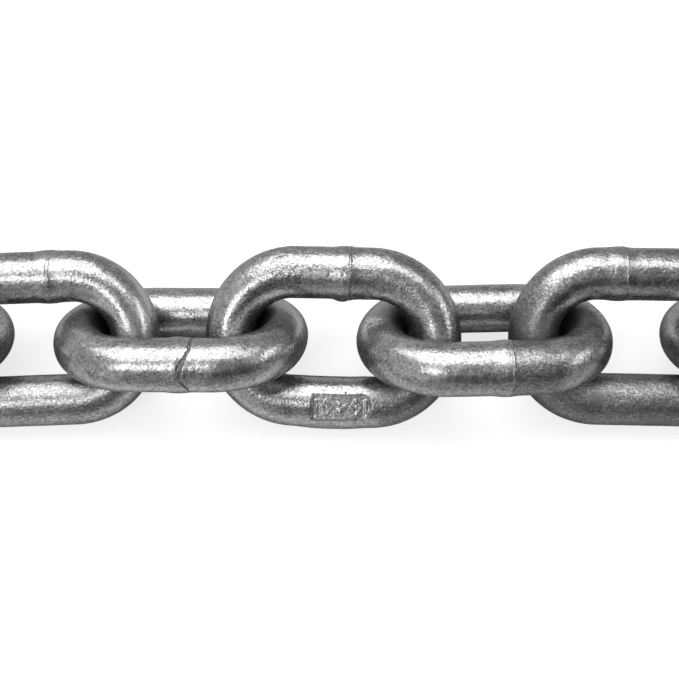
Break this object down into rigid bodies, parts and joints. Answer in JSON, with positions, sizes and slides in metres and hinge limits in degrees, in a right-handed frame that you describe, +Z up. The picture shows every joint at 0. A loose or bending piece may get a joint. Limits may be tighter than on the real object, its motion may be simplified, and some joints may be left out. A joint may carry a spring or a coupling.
{
  "type": "length of short-link anchor chain",
  "caption": "Straight length of galvanised short-link anchor chain lying on a floor, its oval links welded from round bar and leaning turn about, with a free eye at each end.",
  "frame": {"origin": "middle of the chain's bounding box, on the floor that the links lie on", "axes": "+X along the chain from link_01 to link_10, +Y away from the side the picture was taken from, +Z up"},
  "size_m": [0.3158, 0.0322, 0.0252],
  "materials": {
    "galvanised_steel": "hot-dip galvanised, mottled grey, semi-gloss, with small pits and scratches"
  },
  "bodies": {
    "link_01": {"link_01": "galvanised_steel"},
    "link_02": {"link_02": "galvanised_steel"},
    "link_03": {"link_03": "galvanised_steel"},
    "link_04": {"link_04": "galvanised_steel"},
    "link_05": {"link_05": "galvanised_steel"},
    "link_06": {"link_06": "galvanised_steel"},
    "link_07": {"link_07": "galvanised_steel"},
    "link_08": {"link_08": "galvanised_steel"},
    "link_09": {"link_09": "galvanised_steel"},
    "link_10": {"link_10": "galvanised_steel"}
  },
  "joints": [
    {"name": "swing_02", "type": "hinge", "parent": "link_01", "child": "link_02", "pos_m": [-0.11252, -0.00064, 0.01246], "axis": [0.0092, -0.5877, -0.809], "range_deg": [-90, 90]},
    {"name": "swing_03", "type": "hinge", "parent": "link_02", "child": "link_03", "pos_m": [-0.08302, -0.00018, 0.01246], "axis": [0.0205, -0.5874, 0.809], "range_deg": [-90, 90]},
    {"name": "swing_04", "type": "hinge", "parent": "link_03", "child": "link_04", "pos_m": [-0.05354, 0.00085, 0.01246], "axis": [0.0072, 0.5877, 0.809], "range_deg": [-90, 90]},
    {"name": "swing_05", "type": "hinge", "parent": "link_04", "child": "link_05", "pos_m": [-0.02404, 0.00049, 0.01246], "axis": [0.0205, 0.5874, -0.809], "range_deg": [-90, 90]},
    {"name": "swing_06", "type": "hinge", "parent": "link_05", "child": "link_06", "pos_m": [0.00544, -0.00054, 0.01246], "axis": [0.0113, -0.5877, -0.809], "range_deg": [-90, 90]},
    {"name": "swing_07", "type": "hinge", "parent": "link_06", "child": "link_07", "pos_m": [0.03494, 0.00003, 0.01246], "axis": [-0.0164, -0.5876, 0.809], "range_deg": [-90, 90]},
    {"name": "swing_08", "type": "hinge", "parent": "link_07", "child": "link_08", "pos_m": [0.06442, -0.0008, 0.01246], "axis": [-0.0123, 0.5877, 0.809], "range_deg": [-90, 90]},
    {"name": "swing_09", "type": "hinge", "parent": "link_08", "child": "link_09", "pos_m": [0.09392, -0.00018, 0.01246], "axis": [0.0123, 0.5877, -0.809], "range_deg": [-90, 90]},
    {"name": "swing_10", "type": "hinge", "parent": "link_09", "child": "link_10", "pos_m": [0.12341, -0.0008, 0.01246], "axis": [0.0144, -0.5876, -0.809], "range_deg": [-90, 90]}
  ]
}
